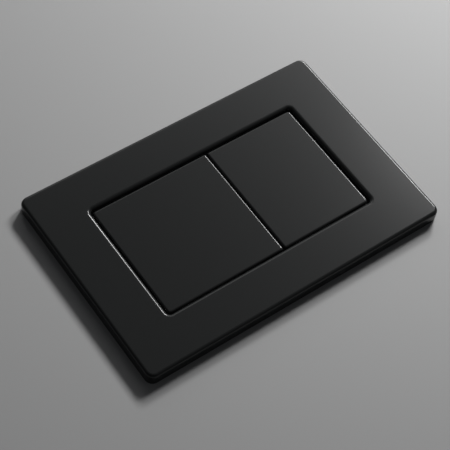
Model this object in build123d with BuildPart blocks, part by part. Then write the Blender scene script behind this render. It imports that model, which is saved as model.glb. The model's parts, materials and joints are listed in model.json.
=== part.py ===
from build123d import *
from math import radians, sin
import os

os.makedirs("parts", exist_ok=True)

# Dual flush button plate. Millimetres, on its back as it lies against a wall:
# +X along the plate, +Y towards its upper edge, +Z out of the wall, wall face at z = 0.

# Face frame
plate_length = 246.0
plate_width = 164.0
plate_height = 10.0
corner_radius = 6.0
edge_radius = 2.6
wall = 2.2
opening_length = 172.8
opening_width = 97.4
opening_corner_radius = 3.0
opening_edge_radius = 2.8
lip_depth = 3.7
rib_thickness = 1.2
rib_end_gap = 3.5
long_rib_pitch = 45.0
long_rib_count = 5
short_rib_pitch = 60.0
hook_width = 14.0
hook_reach = 1.2
hook_pitch = 140.0

# Buttons
button_recess = 1.8
button_gap = 1.3
split_gap = 0.8
split_x = 10.7
button_cap = 1.4
button_depth = 3.0
button_skirt = 1.6
button_edge_radius = 1.6
button_outer_corner = 2.8
button_inner_corner = 1.7
button_rib_depth = 1.2
hinge_rib_setback = 11.0
socket_rib_lead = 8.0
edge_rib_inset = 7.9
support_inset = 6.0
tab_width = 8.0
tab_reach = 1.2
tab_thickness = 1.0
press_angle = 2.5

# Button hinges and rod levers: setbacks are counted from the hinge line, leads from the next feature
pin_radius = 0.8
eye_wall = 0.8
eye_facets = 8
hinge_setback = 6.3
lug_inset = 12.0
lug_thickness = 4.0
post_thickness = 3.0
lever_width = 16.0
lever_setback = 19.0
lever_rise = 1.9
lever_top_rise = 0.8
lever_heel_drop = 1.3
lever_tip_thickness = 1.3
lever_tip_margin = 3.0
lever_skin = 1.2
lever_flange = 1.4
contact_setback = 70.0
contact_length = 10.0
contact_thickness = 2.0
socket_lead = 11.0
socket_radius = 2.5
socket_depth = 2.6
socket_wall = 1.5
socket_roof = 0.8

# Leaf return springs, held by a keeper on the base frame, and rubber stop pads
spring_lead = 27.0
spring_width = 6.0
spring_thickness = 0.4
spring_foot = 10.0
spring_rise_length = 9.0
spring_tip = 4.0
spring_bend_radius = 1.2
keeper_length = 4.0
keeper_wall = 1.0
buffer_setback = 44.0
buffer_length = 8.0
buffer_breadth = 5.0
buffer_height = 1.4
stop_boss_size = 4.0

# Base frame and wall gasket
gasket_thickness = 1.0
gasket_inset = 6.0
gasket_width = 8.0
base_thickness = 1.0
upstand_thickness = 1.2
upstand_height = 2.0
window_margin = 1.2
window_land = 2.0
curb_thickness = 1.2
curb_height = 0.6
notch_margin = 2.0
notch_land = 3.0
slot_spacing = 190.0
slot_length = 12.0
slot_width = 5.5

# Clearances
snap_clearance = 0.4
hook_clearance = 0.2
floor_clearance = 0.1
rib_clearance = 0.1
running_gap = 0.3
cap_clearance = 0.6
keeper_to_post = 1.4
side_gap = 0.4
pin_clearance = 0.05
seat_clearance = 0.05
keeper_clearance = 0.1

# Levels above the wall
base_top = gasket_thickness + base_thickness
face_underside = plate_height - wall
lip_bottom = plate_height - lip_depth
button_top = plate_height - button_recess
cap_underside = button_top - button_cap
skirt_bottom = button_top - button_depth
eye_radius = pin_radius + eye_wall
hinge_z = cap_underside - cap_clearance - eye_radius
pivot_z = base_top + lever_rise
lever_top = pivot_z + lever_top_rise
tab_top = lip_bottom - running_gap
socket_top = cap_underside - cap_clearance
socket_bottom = socket_top - socket_roof - socket_depth
press_travel_at_buffer = buffer_setback * sin(radians(press_angle))
stop_boss_bottom = base_top + buffer_height + running_gap + press_travel_at_buffer

# Lines across the plate
hinge_y = opening_width / 2 - hinge_setback
pivot_y = hinge_y - lever_setback
buffer_y = hinge_y - buffer_setback
spring_y = buffer_y + spring_lead
contact_y = hinge_y - contact_setback
socket_y = contact_y + socket_lead
lever_tip_y = contact_y - lever_tip_margin
tab_tip_y = -opening_width / 2 - tab_reach

# Outlines that fit inside one another
keeper_gap_width = spring_width + 2 * keeper_clearance
keeper_gap_height = spring_thickness + keeper_clearance
cavity_length = plate_length - 2 * wall
cavity_width = plate_width - 2 * wall
base_length = cavity_length - 2 * snap_clearance
base_width = cavity_width - 2 * snap_clearance
base_corner = corner_radius - wall - snap_clearance
gasket_length = base_length - 2 * gasket_inset
gasket_breadth = base_width - 2 * gasket_inset
button_width = opening_width - 2 * button_gap
button_end_x = opening_length / 2 - button_gap
window_near = tab_tip_y - window_margin
window_far = buffer_y - buffer_breadth / 2 - window_land
window_middle = (window_near + window_far) / 2
window_breadth = window_far - window_near
window_length = 2 * (button_end_x + window_margin)
notch_far = pivot_y - eye_radius - notch_land

# The two sides of the plate: where each button starts and ends, and which way its lever lies
sides = {
    "full": {"low": -button_end_x, "high": split_x - split_gap / 2, "hand": -1},
    "half": {"low": split_x + split_gap / 2, "high": button_end_x, "hand": 1},
}


def supports(side):
    """X positions of the springs, buffers and stop tabs, near the two ends of a button."""
    return {"left": side["low"] + support_inset, "right": side["high"] - support_inset}


def lever_x(side):
    """X position of a side's lever and rod socket, clear of the springs at the split and alike on both sides."""
    keeper_edge = supports(sides["half"])["left"] + keeper_gap_width / 2 + keeper_wall
    return side["hand"] * (keeper_edge + keeper_to_post + post_thickness + side_gap + lever_width / 2)


def lug_xs(side):
    """X positions of the two hinge lugs under a button."""
    return (side["low"] + lug_inset, side["high"] - lug_inset)


def hinge_post_xs(side):
    """X positions of the two base posts for a button's hinge pin, outside its lugs."""
    step = lug_thickness / 2 + side_gap + post_thickness / 2
    low, high = lug_xs(side)
    return (low - step, high + step)


def lever_post_xs(side):
    """X positions of the two base posts for a lever's pin, one at each side of it."""
    step = lever_width / 2 + side_gap + post_thickness / 2
    return (lever_x(side) - step, lever_x(side) + step)


def eye_profile(x, axis_y, axis_z, foot_z, bore_radius):
    """Side view of a hinge post or lug: a leg from its foot to a faceted eye on the pin."""
    with BuildSketch(Plane.YZ.offset(x)) as eye:
        with Locations((axis_y, axis_z)):
            RegularPolygon(eye_radius, eye_facets, major_radius=False, rotation=180 / eye_facets)
        with Locations((axis_y, (foot_z + axis_z) / 2)):
            Rectangle(2 * eye_radius, abs(axis_z - foot_z))
        with Locations((axis_y, axis_z)):
            Circle(bore_radius, mode=Mode.SUBTRACT)
    return eye.sketch


def rod_window(level):
    """Outline of the window for the push rods, with a notch for each lever."""
    with BuildSketch(Plane.XY.offset(level)) as window:
        with Locations((0, window_middle)):
            Rectangle(window_length, window_breadth)
        for side in sides.values():
            with Locations((lever_x(side), (window_middle + notch_far) / 2)):
                Rectangle(lever_width + 2 * notch_margin, notch_far - window_middle)
    return window.sketch


def pin(low_x, high_x, axis_y, axis_z):
    """A plain steel pin along X."""
    with BuildPart() as steel_pin:
        with BuildSketch(Plane.YZ.offset(low_x)):
            with Locations((axis_y, axis_z)):
                Circle(pin_radius)
        extrude(amount=high_x - low_x)
    return steel_pin.part


def write(part, node):
    """Label a finished piece and write its file."""
    part.label = node
    export_step(part, f"parts/{node}.step")


# Face frame: a moulded shell with a rolled rim and a turned-in opening
with BuildPart() as face_frame:
    with BuildSketch():
        RectangleRounded(plate_length, plate_width, corner_radius)
    extrude(amount=plate_height)
    fillet(face_frame.faces().sort_by(Axis.Z)[-1].edges(), edge_radius)
    with BuildSketch():
        RectangleRounded(cavity_length, cavity_width, corner_radius - wall)
    extrude(amount=face_underside, mode=Mode.SUBTRACT)
    with BuildSketch(Plane.XY.offset(lip_bottom)):
        RectangleRounded(opening_length + 2 * wall, opening_width + 2 * wall, opening_corner_radius + wall)
    extrude(amount=lip_depth)
    with BuildSketch():
        RectangleRounded(opening_length, opening_width, opening_corner_radius)
    extrude(amount=plate_height, mode=Mode.SUBTRACT)
    fillet(face_frame.faces().sort_by(Axis.Z)[-1].inner_wires()[0].edges(), opening_edge_radius)

    # Stiffening ribs hang from the face and stop just above the base frame
    rib_bottom = base_top + rib_clearance
    rib_outer_gap = upstand_thickness + snap_clearance
    long_rib_low = opening_width / 2 + wall + rib_end_gap
    long_rib_high = base_width / 2 - rib_outer_gap
    short_rib_low = opening_length / 2 + wall + rib_end_gap
    short_rib_high = base_length / 2 - rib_outer_gap
    with BuildSketch(Plane.XY.offset(rib_bottom)):
        with GridLocations(long_rib_pitch, long_rib_low + long_rib_high, long_rib_count, 2):
            Rectangle(rib_thickness, long_rib_high - long_rib_low)
        with GridLocations(short_rib_low + short_rib_high, short_rib_pitch, 2, 2):
            Rectangle(short_rib_high - short_rib_low, rib_thickness)
    extrude(amount=face_underside - rib_bottom)

    # Snap hooks inside the rim catch under the edge of the base frame
    hook_top = gasket_thickness - hook_clearance
    long_hook_xs = (-hook_pitch / 2, hook_pitch / 2)
    long_walls = (Vector(0, cavity_width / 2), Vector(0, -cavity_width / 2))
    short_walls = (Vector(cavity_length / 2, 0), Vector(-cavity_length / 2, 0))
    hooks = [(middle + Vector(x, 0), -middle) for middle in long_walls for x in long_hook_xs]
    hooks += [(middle, -middle) for middle in short_walls]
    for spot, inward in hooks:
        with BuildSketch(Plane(origin=spot, x_dir=inward, z_dir=inward.cross(Vector(0, 0, 1)))):
            with BuildLine():
                Polyline(
                    (-wall / 2, floor_clearance),
                    (0, floor_clearance),
                    (hook_reach, hook_top / 2),
                    (hook_reach, hook_top),
                    (-wall / 2, hook_top),
                    close=True,
                )
            make_face()
        extrude(amount=hook_width / 2, both=True)
write(face_frame.part, "face_frame")

# Base frame: the tray that is screwed to the wall and carries everything that moves
with BuildPart() as base_frame:
    with BuildSketch(Plane.XY.offset(gasket_thickness)):
        RectangleRounded(base_length, base_width, base_corner)
        with Locations((-slot_spacing / 2, 0), (slot_spacing / 2, 0)):
            SlotOverall(slot_length, slot_width, mode=Mode.SUBTRACT)
    extrude(amount=base_thickness)

    # Upstand round the edge and curb round the window
    with BuildSketch(Plane.XY.offset(base_top)):
        RectangleRounded(base_length, base_width, base_corner)
        offset(amount=-upstand_thickness, mode=Mode.SUBTRACT)
    extrude(amount=upstand_height)
    with BuildSketch(Plane.XY.offset(base_top)):
        with Locations((0, window_middle)):
            Rectangle(window_length + 2 * curb_thickness, window_breadth + 2 * curb_thickness)
    extrude(amount=curb_height)
    extrude(rod_window(gasket_thickness), amount=base_thickness + curb_height, mode=Mode.SUBTRACT)

    # Posts for the pins and keepers for the feet of the springs
    for side in sides.values():
        for x in hinge_post_xs(side):
            post = eye_profile(x, hinge_y, hinge_z, base_top, pin_radius)
            extrude(post, amount=post_thickness / 2, both=True)
        for x in lever_post_xs(side):
            post = eye_profile(x, pivot_y, pivot_z, base_top, pin_radius)
            extrude(post, amount=post_thickness / 2, both=True)
        keepers = [(x, spring_y - spring_foot / 2) for x in supports(side).values()]
        with BuildSketch(Plane.XY.offset(base_top)):
            with Locations(keepers):
                Rectangle(keeper_gap_width + 2 * keeper_wall, keeper_length)
        extrude(amount=keeper_gap_height + keeper_wall)
        with BuildSketch(Plane.XY.offset(base_top)):
            with Locations(keepers):
                Rectangle(keeper_gap_width, keeper_length)
        extrude(amount=keeper_gap_height, mode=Mode.SUBTRACT)
write(base_frame.part, "base_frame")

# Wall gasket: a foam ring between the base frame and the wall
with BuildPart() as wall_gasket:
    with BuildSketch():
        RectangleRounded(gasket_length, gasket_breadth, gasket_width)
        Rectangle(gasket_length - 2 * gasket_width, gasket_breadth - 2 * gasket_width, mode=Mode.SUBTRACT)
    extrude(amount=gasket_thickness)
write(wall_gasket.part, "wall_gasket")

for name, side in sides.items():
    # Flush button: a flat cap with a soft edge, a short skirt and ribs, hinged at its upper edge
    with BuildPart() as button:
        with BuildSketch(Plane.XY.offset(skirt_bottom)) as outline:
            with Locations(((side["low"] + side["high"]) / 2, 0)):
                Rectangle(side["high"] - side["low"], button_width)
            ends = outline.vertices().group_by(Axis.X)
            outer_end, split_end = (ends[0], ends[-1]) if side["hand"] < 0 else (ends[-1], ends[0])
            fillet(outer_end, button_outer_corner)
            fillet(split_end, button_inner_corner)
        extrude(amount=button_depth)
        fillet(button.faces().sort_by(Axis.Z)[-1].edges(), button_edge_radius)
        with BuildSketch(Plane.XY.offset(skirt_bottom)):
            with Locations(((side["low"] + side["high"]) / 2, 0)):
                Rectangle(side["high"] - side["low"] - 2 * button_skirt, button_width - 2 * button_skirt)
        extrude(amount=cap_underside - skirt_bottom, mode=Mode.SUBTRACT)

        # Ribs under the cap, along the button and between its lever and its outer end
        outer_x = supports(side)["left" if side["hand"] < 0 else "right"]
        hinge_rib_y = hinge_y - hinge_rib_setback
        socket_rib_y = socket_y + socket_rib_lead
        edge_rib_y = edge_rib_inset - button_width / 2
        with BuildSketch(Plane.XY.offset(cap_underside - button_rib_depth)):
            rib_ys = (hinge_rib_y, socket_rib_y, edge_rib_y)
            with Locations([((side["low"] + side["high"]) / 2, y) for y in rib_ys]):
                Rectangle(side["high"] - side["low"] - button_skirt, rib_thickness)
            with Locations(((outer_x + lever_x(side)) / 2, 0)):
                Rectangle(rib_thickness, button_width - button_skirt)
        extrude(amount=button_rib_depth)

        # Hinge lugs on the pin
        for x in lug_xs(side):
            lug = eye_profile(x, hinge_y, hinge_z, cap_underside, pin_radius + pin_clearance)
            extrude(lug, amount=lug_thickness / 2, both=True)

        # Contact rib that presses the lever
        contact_bottom = lever_top + running_gap
        with BuildSketch(Plane.XY.offset(contact_bottom)):
            with Locations((lever_x(side), contact_y)):
                Rectangle(contact_length, contact_thickness)
        extrude(amount=cap_underside - contact_bottom)

        # Stop bosses over the rubber pads
        with BuildSketch(Plane.XY.offset(stop_boss_bottom)):
            with Locations([(x, buffer_y) for x in supports(side).values()]):
                Rectangle(stop_boss_size, stop_boss_size)
        extrude(amount=cap_underside - stop_boss_bottom)

        # Stop tabs on the lower skirt, which catch under the lip of the opening
        for x in supports(side).values():
            with BuildSketch(Plane.YZ.offset(x)):
                with BuildLine():
                    Polyline(
                        (tab_tip_y, tab_top),
                        (-button_width / 2, tab_top),
                        (-button_width / 2, skirt_bottom + tab_thickness),
                        (-button_width / 2 + button_skirt, skirt_bottom + tab_thickness),
                        (-button_width / 2 + button_skirt, tab_top - tab_thickness),
                        (tab_tip_y, tab_top - tab_thickness),
                        close=True,
                    )
                make_face()
            extrude(amount=tab_width / 2, both=True)
    write(button.part, f"{name}_flush_button")

    # Flush lever: a channel-section arm with a barrel on its pin and a socket for the push rod
    with BuildPart() as lever:
        with BuildSketch(Plane.YZ.offset(lever_x(side))):
            with BuildLine():
                Polyline(
                    (pivot_y, pivot_z - lever_heel_drop),
                    (lever_tip_y, lever_top - lever_tip_thickness),
                    (lever_tip_y, lever_top),
                    (pivot_y, lever_top),
                    close=True,
                )
            make_face()
        extrude(amount=lever_width / 2, both=True)
        with BuildSketch(Plane.XY.offset(gasket_thickness)):
            with Locations((lever_x(side), (pivot_y + lever_tip_y) / 2)):
                Rectangle(lever_width - 2 * lever_flange, pivot_y - lever_tip_y)
        extrude(amount=lever_top - lever_skin - gasket_thickness, mode=Mode.SUBTRACT)
        with BuildSketch(Plane.XY.offset(socket_bottom)):
            with Locations((lever_x(side), socket_y)):
                Circle(socket_radius + socket_wall)
        extrude(amount=socket_top - socket_bottom)
        with BuildSketch(Plane.XY.offset(socket_bottom)):
            with Locations((lever_x(side), socket_y)):
                Circle(socket_radius)
        extrude(amount=socket_depth, mode=Mode.SUBTRACT)
        with BuildSketch(Plane.YZ.offset(lever_x(side))):
            with Locations((pivot_y, pivot_z)):
                Circle(eye_radius)
        extrude(amount=lever_width / 2, both=True)
        with BuildSketch(Plane.YZ.offset(lever_x(side))):
            with Locations((pivot_y, pivot_z)):
                Circle(pin_radius + pin_clearance)
        extrude(amount=lever_width / 2, both=True, mode=Mode.SUBTRACT)
    write(lever.part, f"{name}_flush_lever")

    # Steel pins, pressed into the posts of the base frame
    for joint, xs, axis_y, axis_z in (
        ("hinge", hinge_post_xs(side), hinge_y, hinge_z),
        ("lever", lever_post_xs(side), pivot_y, pivot_z),
    ):
        low, high = xs
        write(pin(low - post_thickness / 2, high + post_thickness / 2, axis_y, axis_z), f"{name}_{joint}_pin")

    # Leaf springs: a flat foot under its keeper, a rising tongue and a flat tip under the cap
    foot_level = base_top + spring_thickness / 2
    tip_level = cap_underside - seat_clearance - spring_thickness / 2
    for end, x in supports(side).items():
        with BuildPart() as spring:
            with BuildSketch(Plane.YZ.offset(x)):
                with BuildLine():
                    FilletPolyline(
                        (spring_y, foot_level),
                        (spring_y - spring_foot, foot_level),
                        (spring_y - spring_foot - spring_rise_length, tip_level),
                        (spring_y - spring_foot - spring_rise_length - spring_tip, tip_level),
                        radius=spring_bend_radius,
                    )
                trace(line_width=spring_thickness)
            extrude(amount=spring_width / 2, both=True)
        write(spring.part, f"{name}_{end}_spring")

    # Rubber pads that stop the pressed button, stuck to the base frame
    for end, x in supports(side).items():
        with BuildPart() as stop_pad:
            with BuildSketch(Plane.XY.offset(base_top)):
                with Locations((x, buffer_y)):
                    Rectangle(buffer_length, buffer_breadth)
            extrude(amount=buffer_height)
        write(stop_pad.part, f"{name}_{end}_buffer")
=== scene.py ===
import json
from math import copysign, cos, pi, radians, tan

import bmesh
import bpy
from bpy.props import FloatProperty, FloatVectorProperty, IntProperty, PointerProperty
from bpy.types import Operator, Panel, PropertyGroup
from mathutils import Matrix, Quaternion, Vector


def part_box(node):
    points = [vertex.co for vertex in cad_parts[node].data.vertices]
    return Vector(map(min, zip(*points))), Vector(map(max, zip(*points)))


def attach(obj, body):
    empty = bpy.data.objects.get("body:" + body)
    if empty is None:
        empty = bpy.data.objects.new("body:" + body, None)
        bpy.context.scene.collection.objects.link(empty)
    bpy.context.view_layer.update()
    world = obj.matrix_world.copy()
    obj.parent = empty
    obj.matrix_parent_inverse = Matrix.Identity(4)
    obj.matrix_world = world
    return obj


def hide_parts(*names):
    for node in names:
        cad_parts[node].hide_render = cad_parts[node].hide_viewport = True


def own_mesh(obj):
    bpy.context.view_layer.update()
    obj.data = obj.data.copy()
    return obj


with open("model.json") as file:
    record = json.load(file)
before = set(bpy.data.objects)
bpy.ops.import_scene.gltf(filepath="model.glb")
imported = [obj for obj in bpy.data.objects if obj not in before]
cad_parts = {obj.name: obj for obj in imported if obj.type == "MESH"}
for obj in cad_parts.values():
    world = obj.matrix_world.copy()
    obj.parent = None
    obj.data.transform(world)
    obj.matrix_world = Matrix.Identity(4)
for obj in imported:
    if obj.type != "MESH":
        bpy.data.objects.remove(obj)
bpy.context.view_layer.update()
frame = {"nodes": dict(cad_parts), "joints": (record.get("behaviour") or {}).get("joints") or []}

bl_info = {
    "name": "Flush Button Plate",
    "version": (1, 0, 0),
    "blender": (4, 5, 0),
    "location": "View3D > Sidebar > Flush Plate",
    "description": "Models the face, buttons and springs of a dual flush plate, with finishes and studio",
    "category": "Object",
}

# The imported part: its box, its joints and the boxes that the new pieces take their places from
JOINTS = {joint["name"]: joint for joint in frame["joints"]}
FACE_LOW, FACE_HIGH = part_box("face_frame")
SIDES = ("full", "half")
ENDS = ("left", "right")

MM = 0.001
TOLERANCE = 0.01 * MM
# How far the root of a rib, hook or boss is sunk into the wall that carries it
ROOT = 0.2 * MM
SHARP_ANGLE = radians(35)
BORE_FACETS = 24
FLOOR_FACETS = 96
# Between these values lies nearly all of a noise texture
NOISE_LOW, NOISE_HIGH = 0.3, 0.7


def linear(hex_colour):
    """An sRGB hex colour such as 1a1b1c as linear red, green, blue and alpha."""
    levels = [int(hex_colour[i:i + 2], 16) / 255 for i in (0, 2, 4)]
    return (*(v / 12.92 if v <= 0.04045 else ((v + 0.055) / 1.055) ** 2.4 for v in levels), 1.0)


def length(name, description, millimetres):
    """A length that a user can change, given in millimetres."""
    return FloatProperty(
        name=name,
        description=description,
        default=millimetres * MM,
        min=0.0,
        unit="LENGTH",
        precision=5,
    )


def colour(name, description, hex_colour):
    """A colour that a user can change, given as sRGB hex."""
    return FloatVectorProperty(
        name=name,
        description=description,
        default=linear(hex_colour),
        size=4,
        min=0.0,
        max=1.0,
        subtype="COLOR",
    )


def power(name, description, watts):
    """The power of a lamp that a user can change."""
    return FloatProperty(name=name, description=description, default=watts, min=0.0, unit="POWER")


def place(name, description, metres):
    """A point that a user can change, given in metres."""
    return FloatVectorProperty(
        name=name,
        description=description,
        default=metres,
        subtype="XYZ_LENGTH",
        precision=5,
    )


def facets(default):
    """A count of facets that a user can change."""
    return IntProperty(
        name="Segments",
        description="Facets round each corner, edge or bend",
        default=default,
        min=2,
    )


class FaceFrameSizes(PropertyGroup):
    """Sizes of the face frame with its ribs and hooks"""

    corner_radius: length("Corner radius", "Radius of the four corners, seen from the front", 6.0)
    edge_radius: length("Edge radius", "Roll of the outer edge into the rim", 2.6)
    wall: length("Wall", "Thickness of the moulded shell", 2.2)
    opening_length: length("Opening length", "Length of the opening for the buttons", 172.8)
    opening_width: length("Opening width", "Width of the opening for the buttons", 97.4)
    opening_corner: length("Opening corner", "Radius of the opening's corners", 3.0)
    opening_edge: length("Opening edge", "Roll of the face into the opening", 2.8)
    lip_depth: length("Lip depth", "Depth of the turned-in lip of the opening", 3.7)
    rib_thickness: length("Rib thickness", "Thickness of the stiffening ribs", 1.2)
    rib_end_gap: length("Rib end gap", "Gap from a rib to the lip of the opening", 3.5)
    rib_bottom: length("Rib bottom", "Height of the ribs' lower edge above the wall", 2.1)
    rib_outer_gap: length("Rib outer gap", "Gap from a rib to the rim", 2.0)
    long_rib_pitch: length("Long rib pitch", "Spacing of the ribs along the plate", 45.0)
    short_rib_pitch: length("Short rib pitch", "Spacing of the ribs across the plate", 60.0)
    hook_width: length("Hook width", "Width of a snap hook", 14.0)
    hook_reach: length("Hook reach", "How far a snap hook stands in from the rim", 1.2)
    hook_low: length("Hook low", "Height of a hook's tip above the wall", 0.1)
    hook_top: length("Hook top", "Height of a hook's catch above the wall", 0.8)
    hook_pitch: length("Hook pitch", "Spacing of the hooks along the plate", 140.0)
    segments: facets(12)


class ButtonSizes(PropertyGroup):
    """Sizes that both buttons share"""

    cap: length("Cap", "Thickness of the button's cap", 1.4)
    depth: length("Depth", "Depth of the button with its skirt", 3.0)
    skirt: length("Skirt", "Thickness of the skirt", 1.6)
    edge_radius: length("Edge radius", "Roll of the cap into the skirt", 1.6)
    outer_corner: length("Outer corner", "Corner radius at the plate's end", 2.8)
    inner_corner: length("Inner corner", "Corner radius at the split between the buttons", 1.7)
    rib_thickness: length("Rib thickness", "Thickness of the ribs under the cap", 1.2)
    rib_depth: length("Rib depth", "Depth of the ribs under the cap", 1.2)
    hinge_rib: length("Hinge rib", "Distance from the hinge to the first rib", 11.0)
    middle_rib: length("Middle rib", "Distance from the hinge to the second rib", 51.0)
    lower_rib: length("Lower rib", "Distance from the lower edge to the third rib", 7.9)
    lug_inset: length("Lug inset", "Distance from the button's end to a hinge lug", 12.0)
    lug_thickness: length("Lug thickness", "Thickness of a hinge lug", 4.0)
    eye_radius: length("Eye radius", "Half the width of a hinge lug's eye", 1.6)
    bore_radius: length("Bore radius", "Radius of the bore for the hinge pin", 0.85)
    contact_length: length("Contact length", "Length of the rib that presses the lever", 10.0)
    contact_thickness: length("Contact thickness", "Thickness of the rib that presses the lever", 2.0)
    contact_low: length("Contact low", "Height of the contact rib's lower edge above the wall", 5.0)
    contact_setback: length("Contact setback", "Distance from the hinge to the contact rib", 70.0)
    boss_size: length("Boss size", "Side of the stop bosses over the rubber pads", 4.0)
    boss_clearance: length("Boss clearance", "Gap from a stop boss to its pad, at rest", 2.22)
    tab_width: length("Tab width", "Width of the stop tabs under the lip", 8.0)
    tab_thickness: length("Tab thickness", "Thickness of the stop tabs", 1.0)
    tab_top: length("Tab top", "Height of the stop tabs above the wall", 6.0)
    segments: facets(10)


class SpringSizes(PropertyGroup):
    """Sizes of the leaf springs under the buttons"""

    thickness: length("Thickness", "Thickness of the spring strip", 0.4)
    foot: length("Foot", "Length of the flat foot under its keeper", 10.0)
    tip: length("Tip", "Length of the flat tip under the button", 4.0)
    bend_radius: length("Bend radius", "Radius of the two bends", 1.2)
    pressed: FloatProperty(
        name="Pressed height",
        description="Share of the spring's height that is left when its button is pressed",
        default=0.61,
        min=0.1,
        max=1.0,
        subtype="FACTOR",
    )
    segments: facets(6)


class FinishColours(PropertyGroup):
    """Colours of the finishes"""

    lacquer: colour("Satin lacquer", "Face frame and buttons", "242525")
    grey_abs: colour("Grey ABS", "Base frame", "707274")
    acetal: colour("Natural acetal", "Levers", "e4e3dc")
    stainless: colour("Stainless steel", "Hinge and lever pins", "cccccc")
    spring_strip: colour("Spring strip", "Leaf springs", "bcbcbc")
    rubber: colour("Rubber", "Stop pads", "303030")
    foam: colour("Foam", "Wall gasket", "3f3f41")


class StudioSettings(PropertyGroup):
    """Floor, lamps and camera"""

    floor: colour("Floor", "Plain pale floor", "a2a2a2")
    floor_radius: length("Floor radius", "Radius of the round floor", 3000.0)
    sky: colour("Sky", "Even light from all round", "d9dce0")
    sky_strength: FloatProperty(
        name="Sky strength",
        description="Strength of the even light",
        default=0.07,
        min=0.0,
    )
    key_power: power("Key power", "Power of the lamp that casts the shadow", 6.6)
    key_place: place("Key place", "Where the key lamp stands", (0.75, 0.29, 0.595))
    key_size: length("Key size", "Side of the key lamp", 200.0)
    edge_power: power("Edge power", "Power of the far lamp that the rolled edges reflect", 23.0)
    edge_place: place("Edge place", "Where the edge lamp stands", (1.4, 1.02, 1.0))
    edge_size: length("Edge size", "Side of the edge lamp", 300.0)
    fill_power: power("Fill power", "Power of the softbox that lifts the shadow", 2.8)
    fill_place: place("Fill place", "Where the softbox stands", (0.58, 1.15, 0.77))
    fill_size: length("Fill size", "Side of the softbox", 900.0)
    lens: FloatProperty(
        name="Lens",
        description="Focal length on a 36 mm sensor",
        default=113.27,
        min=1.0,
        unit="CAMERA",
    )
    camera_place: place("Camera place", "Where the camera stands", (-0.38073, -0.40925, 0.82005))
    camera_aim: place(
        "Camera aim", "The point of the floor in the middle of the picture", (-0.00934, -0.00583, 0.0)
    )
    camera_roll: FloatProperty(
        name="Camera roll",
        description="Turn of the camera about its own line of sight",
        default=radians(8.77),
        subtype="ANGLE",
    )


class FlushPlateSettings(PropertyGroup):
    """All that a user can change on the plate and its studio"""

    face: PointerProperty(type=FaceFrameSizes)
    button: PointerProperty(type=ButtonSizes)
    spring: PointerProperty(type=SpringSizes)
    finish: PointerProperty(type=FinishColours)
    studio: PointerProperty(type=StudioSettings)


def node(tree, kind, inputs=None, **settings):
    """Add a node with its settings; an input is linked if it is another node's output, and else set."""
    added = tree.nodes.new(kind)
    for name, value in settings.items():
        setattr(added, name, value)
    for name, value in (inputs or {}).items():
        if isinstance(value, bpy.types.NodeSocket):
            tree.links.new(value, added.inputs[name])
        else:
            added.inputs[name].default_value = value
    return added


def per_metre(millimetres):
    """The scale of a texture whose features are that many millimetres across."""
    return 1 / (millimetres * MM)


def material_tree(name):
    """A new material with an empty node tree, and the tree."""
    material = bpy.data.materials.new(name)
    material.use_nodes = True
    material.node_tree.nodes.clear()
    return material, material.node_tree


def grained(name, base, roughness, grain_mm, bump_mm, stretch=(1, 1, 1), **sockets):
    """A surface whose roughness, given as lowest and highest, and whose height follow one grain."""
    material, tree = material_tree(name)
    spot = node(tree, "ShaderNodeTexCoord")
    along = node(tree, "ShaderNodeMapping", {"Vector": spot.outputs["Object"], "Scale": stretch})
    grain = node(
        tree,
        "ShaderNodeTexNoise",
        {
            "Vector": along.outputs["Vector"],
            "Scale": per_metre(grain_mm),
            "Detail": 3.0,
            "Roughness": 0.55,
        },
    )
    rough = node(
        tree,
        "ShaderNodeMapRange",
        {
            "Value": grain.outputs["Fac"],
            "From Min": NOISE_LOW,
            "From Max": NOISE_HIGH,
            "To Min": roughness[0],
            "To Max": roughness[1],
        },
    )
    bump = node(
        tree,
        "ShaderNodeBump",
        {"Height": grain.outputs["Fac"], "Strength": 1.0, "Distance": bump_mm * MM},
    )
    shader = node(
        tree,
        "ShaderNodeBsdfPrincipled",
        {
            "Base Color": base,
            "Roughness": rough.outputs["Result"],
            "Normal": bump.outputs["Normal"],
            **sockets,
        },
    )
    node(tree, "ShaderNodeOutputMaterial", {"Surface": shader.outputs["BSDF"]})
    return material


def satin_lacquer(finish):
    # Sprayed satin black on moulded ABS: almost no colour, a soft sheen, thin lines on the rolled edges.
    # The face and the buttons share it. Its IOR is matched to the dim sheen, below a lacquer's usual 1.5.
    name = "satin_black_lacquer"
    made = bpy.data.materials.get(name)
    return made or grained(name, finish.lacquer, (0.222, 0.232), 1.4, 0.0003, IOR=1.36)


def moulded_abs(finish):
    # Grey ABS straight from a spark-eroded mould: dull, with a fine even grain.
    return grained("moulded_grey_abs", finish.grey_abs, (0.48, 0.62), 0.5, 0.006, IOR=1.53)


def natural_acetal(finish):
    # Uncoloured acetal: milky white, slightly waxy, with light going a little way in.
    return grained(
        "natural_acetal",
        finish.acetal,
        (0.32, 0.44),
        0.8,
        0.003,
        **{"IOR": 1.48, "Subsurface Weight": 0.15, "Subsurface Scale": 0.6 * MM},
    )


def drawn_stainless(finish):
    # Drawn round bar: bright, with fine draw lines along its length.
    along_pin = (0.03, 1, 1)
    return grained("drawn_stainless", finish.stainless, (0.2, 0.36), 0.3, 0.001, along_pin, Metallic=1.0)


def rolled_spring_strip(finish):
    # Cold-rolled strip: duller than the pins, with roll lines along the leaf.
    along_leaf = (1, 0.05, 1)
    return grained(
        "rolled_spring_strip", finish.spring_strip, (0.26, 0.42), 0.25, 0.001, along_leaf, Metallic=1.0
    )


def moulded_rubber(finish):
    # Black rubber: soft, matt and a little uneven.
    return grained("moulded_rubber", finish.rubber, (0.7, 0.85), 0.6, 0.02, IOR=1.52)


def closed_cell_foam(finish):
    # Charcoal foam cut from sheet: matt, with small open cells on the cut.
    return grained("closed_cell_foam", finish.foam, (0.85, 0.98), 0.7, 0.08, IOR=1.3)


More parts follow.
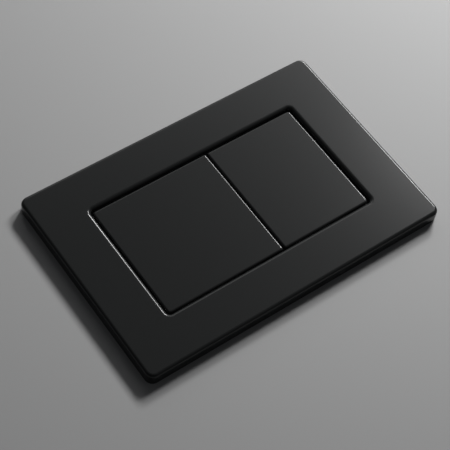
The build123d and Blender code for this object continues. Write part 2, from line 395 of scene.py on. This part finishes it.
def block(bm, low, high):
    """A closed box between two corners."""
    low, high = Vector(low), Vector(high)
    place_and_size = Matrix.LocRotScale((low + high) / 2, None, high - low)
    bmesh.ops.create_cube(bm, size=1.0, matrix=place_and_size)


def bevel(bm, edges, radius, segments):
    """Round edges to a radius."""
    bmesh.ops.bevel(
        bm,
        geom=edges,
        offset=radius,
        offset_type="OFFSET",
        segments=segments,
        profile=0.5,
        affect="EDGES",
        clamp_overlap=False,
        material=-1,
    )


def upright_edges(bm):
    """Edges that stand along Z."""
    upright = cos(SHARP_ANGLE)
    return [e for e in bm.edges if abs((e.verts[0].co - e.verts[1].co).normalized().z) > upright]


def rim_edges(bm, level):
    """Sharp edges that lie at a level."""
    at_level = [e for e in bm.edges if all(abs(v.co.z - level) < TOLERANCE for v in e.verts)]
    return [e for e in at_level if e.calc_face_angle(0.0) > SHARP_ANGLE]


def faces_at(bm, level):
    """Flat faces that lie at a level."""
    return [f for f in bm.faces if all(abs(v.co.z - level) < TOLERANCE for v in f.verts)]


def verts_of(geom):
    """The vertices in what an extrusion gives back."""
    return [item for item in geom if isinstance(item, bmesh.types.BMVert)]


def hollow_from_below(bm, wall, rise):
    """Leave a wall round the underside and press the rest of it up into a cavity."""
    underside = faces_at(bm, min(v.co.z for v in bm.verts))
    bmesh.ops.inset_region(bm, faces=underside, thickness=wall, use_even_offset=True, use_boundary=True)
    raised = bmesh.ops.extrude_face_region(bm, geom=underside)["geom"]
    bmesh.ops.translate(bm, verts=verts_of(raised), vec=(0, 0, rise))
    bmesh.ops.delete(bm, geom=[f for f in underside if f.is_valid], context="FACES_ONLY")


def prism(bm, outline, along):
    """A closed prism from a flat outline, pushed along a vector."""
    face = bm.faces.new([bm.verts.new(point) for point in outline])
    pushed = bmesh.ops.extrude_face_region(bm, geom=[face], use_keep_orig=True)["geom"]
    bmesh.ops.translate(bm, verts=verts_of(pushed), vec=along)


def join_shells(bm):
    """Join overlapping shells, such as a wall and the ribs on it, into one closed shell."""
    bmesh.ops.recalc_face_normals(bm, faces=bm.faces)
    mesh = bpy.data.meshes.new("shells")
    bm.to_mesh(mesh)
    shells = bpy.data.objects.new("shells", mesh)
    bpy.context.scene.collection.objects.link(shells)
    union = shells.modifiers.new("Union of its own shells", "BOOLEAN")
    union.operation = "UNION"
    union.solver = "EXACT"
    union.operand_type = "COLLECTION"
    union.use_self = True
    joined = shells.evaluated_get(bpy.context.evaluated_depsgraph_get())
    bm.clear()
    bm.from_mesh(joined.to_mesh())
    joined.to_mesh_clear()
    bpy.data.objects.remove(shells)
    bpy.data.meshes.remove(mesh)


def add_piece(name, bm, material, body, replaced):
    """Make the mesh an object with smooth rolled edges, which rides on a body and stands for a node."""
    bmesh.ops.recalc_face_normals(bm, faces=bm.faces)
    for face in bm.faces:
        face.smooth = True
    for edge in bm.edges:
        edge.smooth = edge.calc_face_angle(pi) < SHARP_ANGLE
    mesh = bpy.data.meshes.new(name)
    bm.to_mesh(mesh)
    bm.free()
    mesh.materials.append(material)
    piece = bpy.data.objects.new(name, mesh)
    bpy.context.scene.collection.objects.link(piece)
    normals = piece.modifiers.new("Flat faces stay flat", "WEIGHTED_NORMAL")
    normals.keep_sharp = True
    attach(piece, body)
    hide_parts(replaced)
    return piece


def face_shell(bm, sizes):
    """The moulded shell: a frame with rolled edges, hollow behind, with a short lip round its opening."""
    outer = Vector((FACE_HIGH.x, FACE_HIGH.y))
    opening = Vector((sizes.opening_length, sizes.opening_width)) / 2
    top = FACE_HIGH.z

    def at_opening(edge):
        middle = (edge.verts[0].co + edge.verts[1].co) / 2
        return all(abs(middle[i]) < opening[i] + TOLERANCE for i in (0, 1))

    # A plain frame: a grid of nine faces without the middle one, pushed up to its full height
    bmesh.ops.create_grid(bm, x_segments=3, y_segments=3, size=1.0)
    for vert in bm.verts:
        reach = [outer[i] if abs(vert.co[i]) > 0.5 else opening[i] for i in (0, 1)]
        vert.co = (copysign(reach[0], vert.co.x), copysign(reach[1], vert.co.y), 0.0)
    centre = min(bm.faces, key=lambda f: f.calc_center_median().length)
    bmesh.ops.delete(bm, geom=[centre], context="FACES")
    raised = bmesh.ops.extrude_face_region(bm, geom=bm.faces[:])["geom"]
    bmesh.ops.translate(bm, verts=verts_of(raised), vec=(0, 0, top))
    bmesh.ops.recalc_face_normals(bm, faces=bm.faces)

    # Its corners are rounded, it is hollowed, and the walls at the opening become a short lip
    corners = [e for e in upright_edges(bm) if e.calc_face_angle(0.0) > SHARP_ANGLE]
    inner_corners = [e for e in corners if at_opening(e)]
    bevel(bm, [e for e in corners if not at_opening(e)], sizes.corner_radius, sizes.segments)
    bevel(bm, inner_corners, sizes.opening_corner, sizes.segments)
    hollow_from_below(bm, sizes.wall, top - sizes.wall)
    lip = opening + Vector((sizes.wall, sizes.wall))
    for vert in bm.verts:
        inside = all(abs(vert.co[i]) < lip[i] + TOLERANCE for i in (0, 1))
        if inside and vert.co.z < TOLERANCE:
            vert.co.z = top - sizes.lip_depth

    # The face rolls over into the rim and into the opening
    rim = rim_edges(bm, top)
    inner_rim = [e for e in rim if at_opening(e)]
    bevel(bm, [e for e in rim if not at_opening(e)], sizes.edge_radius, sizes.segments)
    bevel(bm, inner_rim, sizes.opening_edge, sizes.segments)


def face_ribs(bm, sizes):
    """Stiffening ribs behind the face, across each of its four sides."""
    root = FACE_HIGH.z - sizes.wall + ROOT
    half = sizes.rib_thickness / 2
    near = sizes.opening_width / 2 + sizes.wall + sizes.rib_end_gap
    far = FACE_HIGH.y - sizes.wall - sizes.rib_outer_gap
    for step in (-2, -1, 0, 1, 2):
        x = step * sizes.long_rib_pitch
        for low, high in ((near, far), (-far, -near)):
            block(bm, (x - half, low, sizes.rib_bottom), (x + half, high, root))
    near = sizes.opening_length / 2 + sizes.wall + sizes.rib_end_gap
    far = FACE_HIGH.x - sizes.wall - sizes.rib_outer_gap
    for y in (-sizes.short_rib_pitch / 2, sizes.short_rib_pitch / 2):
        for low, high in ((near, far), (-far, -near)):
            block(bm, (low, y - half, sizes.rib_bottom), (high, y + half, root))


def snap_hooks(bm, sizes):
    """Hooks inside the rim that catch under the edge of the base frame."""
    profile = [
        (-ROOT, sizes.hook_low),
        (0.0, sizes.hook_low),
        (sizes.hook_reach, sizes.hook_top / 2),
        (sizes.hook_reach, sizes.hook_top),
        (-ROOT, sizes.hook_top),
    ]
    wall_x, wall_y = FACE_HIGH.x - sizes.wall, FACE_HIGH.y - sizes.wall
    spots = [(Vector((x, 0, 0)), Vector((copysign(1, -x), 0, 0))) for x in (wall_x, -wall_x)]
    for x in (-sizes.hook_pitch / 2, sizes.hook_pitch / 2):
        spots += [(Vector((x, y, 0)), Vector((0, copysign(1, -y), 0))) for y in (wall_y, -wall_y)]
    for spot, inward in spots:
        along = inward.cross(Vector((0, 0, 1))) * sizes.hook_width
        outline = [spot - along / 2 + inward * reach + Vector((0, 0, z)) for reach, z in profile]
        prism(bm, outline, along)


def button_cap(bm, sizes, low, high, outer_low):
    """The cap with its rolled edge and skirt; outer_low says that its outer end is the low one."""
    block(bm, (low.x, -high.y, high.z - sizes.depth), high)
    middle = (low.x + high.x) / 2
    outer = [e for e in upright_edges(bm) if (e.verts[0].co.x < middle) == outer_low]
    bevel(bm, outer, sizes.outer_corner, sizes.segments)
    sharp = [e for e in upright_edges(bm) if e.calc_face_angle(0.0) > SHARP_ANGLE]
    bevel(bm, sharp, sizes.inner_corner, sizes.segments)
    hollow_from_below(bm, sizes.skirt, sizes.depth - sizes.cap)
    bevel(bm, rim_edges(bm, high.z), sizes.edge_radius, sizes.segments)


def hinge_lug(bm, sizes, x, axis, underside):
    """A lug with a faceted eye: six outer corners joined to the round bore for the pin."""
    wide = sizes.eye_radius
    flat = wide * tan(pi / 8)
    rise = underside + ROOT - axis.z
    outline = [(wide, rise), (wide, -flat), (flat, -wide), (-flat, -wide), (-wide, -flat), (-wide, rise)]
    left = x - sizes.lug_thickness / 2
    corners = [bm.verts.new((left, axis.y + y, axis.z + z)) for y, z in outline]
    loop = [bm.edges.new((corners[i - 1], corners[i])) for i in range(len(corners))]
    turn = Matrix.Translation((left, axis.y, axis.z)) @ Matrix.Rotation(pi / 2, 4, "Y")
    bore = bmesh.ops.create_circle(bm, segments=BORE_FACETS, radius=sizes.bore_radius, matrix=turn)
    loop += dict.fromkeys(edge for vert in bore["verts"] for edge in vert.link_edges)
    cheek = bmesh.ops.bridge_loops(bm, edges=loop)["faces"]
    pushed = bmesh.ops.extrude_face_region(bm, geom=cheek, use_keep_orig=True)["geom"]
    bmesh.ops.translate(bm, verts=verts_of(pushed), vec=(sizes.lug_thickness, 0, 0))


def button_underside(bm, sizes, side, low, high):
    """Ribs, hinge lugs, contact rib, stop bosses and stop tabs under a button's cap."""
    hinge = Vector(JOINTS[f"{side}_press"]["pos_m"])
    lever_x = JOINTS[f"{side}_lever_turn"]["pos_m"][0]
    pads = [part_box(f"{side}_{end}_buffer") for end in ENDS]
    underside = high.z - sizes.cap
    root = underside + ROOT

    # Three ribs along the button, and one across it between the lever and the outer pad
    half = sizes.rib_thickness / 2
    rib_low = underside - sizes.rib_depth
    inner_low, inner_high = low.x + sizes.skirt - ROOT, high.x - sizes.skirt + ROOT
    inner_y = high.y - sizes.skirt + ROOT
    for y in (hinge.y - sizes.hinge_rib, hinge.y - sizes.middle_rib, sizes.lower_rib - high.y):
        block(bm, (inner_low, y - half, rib_low), (inner_high, y + half, root))
    outer_x = max(((pad[0].x + pad[1].x) / 2 for pad in pads), key=abs)
    x = (outer_x + lever_x) / 2
    block(bm, (x - half, -inner_y, rib_low), (x + half, inner_y, root))

    # Two lugs for the hinge pin, and the rib that presses the lever
    for x in (low.x + sizes.lug_inset, high.x - sizes.lug_inset):
        hinge_lug(bm, sizes, x, hinge, underside)
    y = hinge.y - sizes.contact_setback
    long, thick = sizes.contact_length / 2, sizes.contact_thickness / 2
    block(bm, (lever_x - long, y - thick, sizes.contact_low), (lever_x + long, y + thick, root))

    # At each pad a boss that meets it, and a tab on a stem that stops the button under the lip
    reach = sizes.boss_size / 2
    tab_low = sizes.tab_top - sizes.tab_thickness
    skirt_y, skirt_low = -high.y, high.z - sizes.depth
    stem_low, stem_high = sizes.tab_top - ROOT, skirt_low + ROOT
    for pad_low, pad_high in pads:
        spot = (pad_low + pad_high) / 2
        boss_low = pad_high.z + sizes.boss_clearance
        block(bm, (spot.x - reach, spot.y - reach, boss_low), (spot.x + reach, spot.y + reach, root))
        left, right = spot.x - sizes.tab_width / 2, spot.x + sizes.tab_width / 2
        block(bm, (left, low.y, tab_low), (right, skirt_y + sizes.skirt, sizes.tab_top))
        block(bm, (left, skirt_y + ROOT, stem_low), (right, skirt_y + sizes.skirt - ROOT, stem_high))


def leaf_strip(bm, sizes, low, high):
    """A bent strip between two corners: flat foot, rising tongue and flat tip."""
    foot, tip = low.z + sizes.thickness / 2, high.z - sizes.thickness / 2
    line = [
        (high.y, foot),
        (high.y - sizes.foot, foot),
        (low.y + sizes.tip, tip),
        (low.y, tip),
    ]
    points = [bm.verts.new((low.x, y, z)) for y, z in line]
    edges = [bm.edges.new(pair) for pair in zip(points, points[1:])]
    widened = bmesh.ops.extrude_edge_only(bm, edges=edges)["geom"]
    bmesh.ops.translate(bm, verts=verts_of(widened), vec=(high.x - low.x, 0, 0))
    rise = Vector((line[1][0] - line[2][0], tip - foot))
    slope = Vector((1, 0)).angle(rise)
    folds = [e for e in bm.edges if e.is_manifold]
    bevel(bm, folds, sizes.bend_radius * tan(slope / 2), sizes.segments)
    bmesh.ops.recalc_face_normals(bm, faces=bm.faces)
    bmesh.ops.solidify(bm, geom=bm.faces[:], thickness=sizes.thickness)


class FLUSHPLATE_OT_face_frame(Operator):
    """Model the face frame: a hollow shell with rolled edges, ribs and snap hooks"""

    bl_idname = "flushplate.face_frame"
    bl_label = "Face Frame"

    def execute(self, context):
        settings = context.scene.flush_plate
        bm = bmesh.new()
        face_shell(bm, settings.face)
        face_ribs(bm, settings.face)
        snap_hooks(bm, settings.face)
        join_shells(bm)
        lacquer = satin_lacquer(settings.finish)
        add_piece("face_shell", bm, lacquer, "plate", "face_frame")
        return {"FINISHED"}


class FLUSHPLATE_OT_buttons(Operator):
    """Model the wide and the narrow button, each with what it carries under its cap"""

    bl_idname = "flushplate.buttons"
    bl_label = "Buttons"

    def execute(self, context):
        settings = context.scene.flush_plate
        lacquer = satin_lacquer(settings.finish)
        for side in SIDES:
            low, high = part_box(f"{side}_flush_button")
            bm = bmesh.new()
            button_cap(bm, settings.button, low, high, outer_low=abs(low.x) > abs(high.x))
            button_underside(bm, settings.button, side, low, high)
            join_shells(bm)
            add_piece(
                f"{side}_button_cap",
                bm,
                lacquer,
                f"{side}_button",
                f"{side}_flush_button",
            )
        return {"FINISHED"}


class FLUSHPLATE_OT_springs(Operator):
    """Model the leaf springs under the buttons"""

    bl_idname = "flushplate.springs"
    bl_label = "Leaf Springs"

    def execute(self, context):
        settings = context.scene.flush_plate
        strip = rolled_spring_strip(settings.finish)
        for side in SIDES:
            for end in ENDS:
                spring = f"{side}_{end}_spring"
                low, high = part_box(spring)
                bm = bmesh.new()
                leaf_strip(bm, settings.spring, low, high)
                piece = add_piece(f"{side}_{end}_leaf", bm, strip, "plate", spring)
                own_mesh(piece)
        return {"FINISHED"}


class FLUSHPLATE_OT_inner_finishes(Operator):
    """Give the parts behind the face their finishes"""

    bl_idname = "flushplate.inner_finishes"
    bl_label = "Inner Finishes"

    def execute(self, context):
        finish = context.scene.flush_plate.finish
        parts = {
            moulded_abs: ["base_frame"],
            closed_cell_foam: ["wall_gasket"],
            natural_acetal: [f"{side}_flush_lever" for side in SIDES],
            drawn_stainless: [f"{side}_{pin}_pin" for side in SIDES for pin in ("hinge", "lever")],
            moulded_rubber: [f"{side}_{end}_buffer" for side in SIDES for end in ENDS],
        }
        for make, names in parts.items():
            material = make(finish)
            for name in names:
                part = frame["nodes"][name]
                part.data.materials.clear()
                part.data.materials.append(material)
        return {"FINISHED"}


def stand(name, data, spot, aim):
    """Put a lamp or a camera at a spot, turned to a point."""
    piece = bpy.data.objects.new(name, data)
    piece.location = spot
    piece.rotation_mode = "QUATERNION"
    piece.rotation_quaternion = (Vector(aim) - Vector(spot)).to_track_quat("-Z", "Y")
    bpy.context.scene.collection.objects.link(piece)
    return piece


def square_lamp(name, watts, spot, size):
    """A square lamp at a spot, turned to the middle of the plate."""
    lamp = bpy.data.lights.new(name, "AREA")
    lamp.size = size
    lamp.energy = watts
    stand(name, lamp, spot, (0, 0, 0))


def painted_floor(studio):
    """A round floor in one pale matt colour."""
    bm = bmesh.new()
    bmesh.ops.create_circle(bm, cap_ends=True, segments=FLOOR_FACETS, radius=studio.floor_radius)
    mesh = bpy.data.meshes.new("floor")
    bm.to_mesh(mesh)
    bm.free()
    # Matt floor paint: an even colour without shine.
    material, tree = material_tree("matt_floor_paint")
    paint = node(tree, "ShaderNodeBsdfPrincipled", {"Base Color": studio.floor, "Roughness": 0.7})
    node(tree, "ShaderNodeOutputMaterial", {"Surface": paint.outputs["BSDF"]})
    mesh.materials.append(material)
    floor = bpy.data.objects.new("floor", mesh)
    bpy.context.scene.collection.objects.link(floor)


def even_sky(studio):
    """Dim light from all round."""
    world = bpy.data.worlds.new("studio")
    world.use_nodes = True
    world.node_tree.nodes.clear()
    light = node(
        world.node_tree,
        "ShaderNodeBackground",
        {"Color": studio.sky, "Strength": studio.sky_strength},
    )
    node(world.node_tree, "ShaderNodeOutputWorld", {"Surface": light.outputs["Background"]})
    bpy.context.scene.world = world


def photo_camera(studio):
    """The camera at the photograph's place and angle."""
    optics = bpy.data.cameras.new("camera")
    optics.lens = studio.lens
    camera = stand("camera", optics, studio.camera_place, studio.camera_aim)
    camera.rotation_quaternion @= Quaternion((0, 0, 1), studio.camera_roll)
    bpy.context.scene.camera = camera


class FLUSHPLATE_OT_studio(Operator):
    """Set up the floor, the lamps and the camera"""

    bl_idname = "flushplate.studio"
    bl_label = "Studio"

    def execute(self, context):
        studio = context.scene.flush_plate.studio
        context.scene.view_settings.view_transform = "Standard"
        painted_floor(studio)
        even_sky(studio)
        square_lamp("key", studio.key_power, studio.key_place, studio.key_size)
        square_lamp("edge", studio.edge_power, studio.edge_place, studio.edge_size)
        square_lamp("fill", studio.fill_power, studio.fill_place, studio.fill_size)
        photo_camera(studio)
        return {"FINISHED"}


OPERATORS = (
    FLUSHPLATE_OT_face_frame,
    FLUSHPLATE_OT_buttons,
    FLUSHPLATE_OT_springs,
    FLUSHPLATE_OT_inner_finishes,
    FLUSHPLATE_OT_studio,
)


class FLUSHPLATE_PT_sidebar(Panel):
    """The plate's sizes and colours, and the steps that build it"""

    bl_idname = "FLUSHPLATE_PT_sidebar"
    bl_label = "Flush Plate"
    bl_space_type = "VIEW_3D"
    bl_region_type = "UI"
    bl_category = "Flush Plate"

    def draw(self, context):
        settings = context.scene.flush_plate
        sizes = (settings.face, settings.button, settings.spring)
        for group in (*sizes, settings.finish, settings.studio):
            box = self.layout.box()
            for name in group.__annotations__:
                box.prop(group, name)
        for operator in OPERATORS:
            self.layout.operator(operator.bl_idname)


CLASSES = (
    FaceFrameSizes,
    ButtonSizes,
    SpringSizes,
    FinishColours,
    StudioSettings,
    FlushPlateSettings,
    *OPERATORS,
    FLUSHPLATE_PT_sidebar,
)


def register():
    """Register the classes and give every scene its own settings."""
    for cls in CLASSES:
        bpy.utils.register_class(cls)
    bpy.types.Scene.flush_plate = PointerProperty(type=FlushPlateSettings)


def unregister():
    """Take the settings and the classes away again."""
    del bpy.types.Scene.flush_plate
    for cls in reversed(CLASSES):
        bpy.utils.unregister_class(cls)


def main():
    """Build the plate and its studio."""
    register()
    bpy.ops.flushplate.face_frame()
    bpy.ops.flushplate.buttons()
    bpy.ops.flushplate.springs()
    bpy.ops.flushplate.inner_finishes()
    bpy.ops.flushplate.studio()


if __name__ == "__main__":
    main()
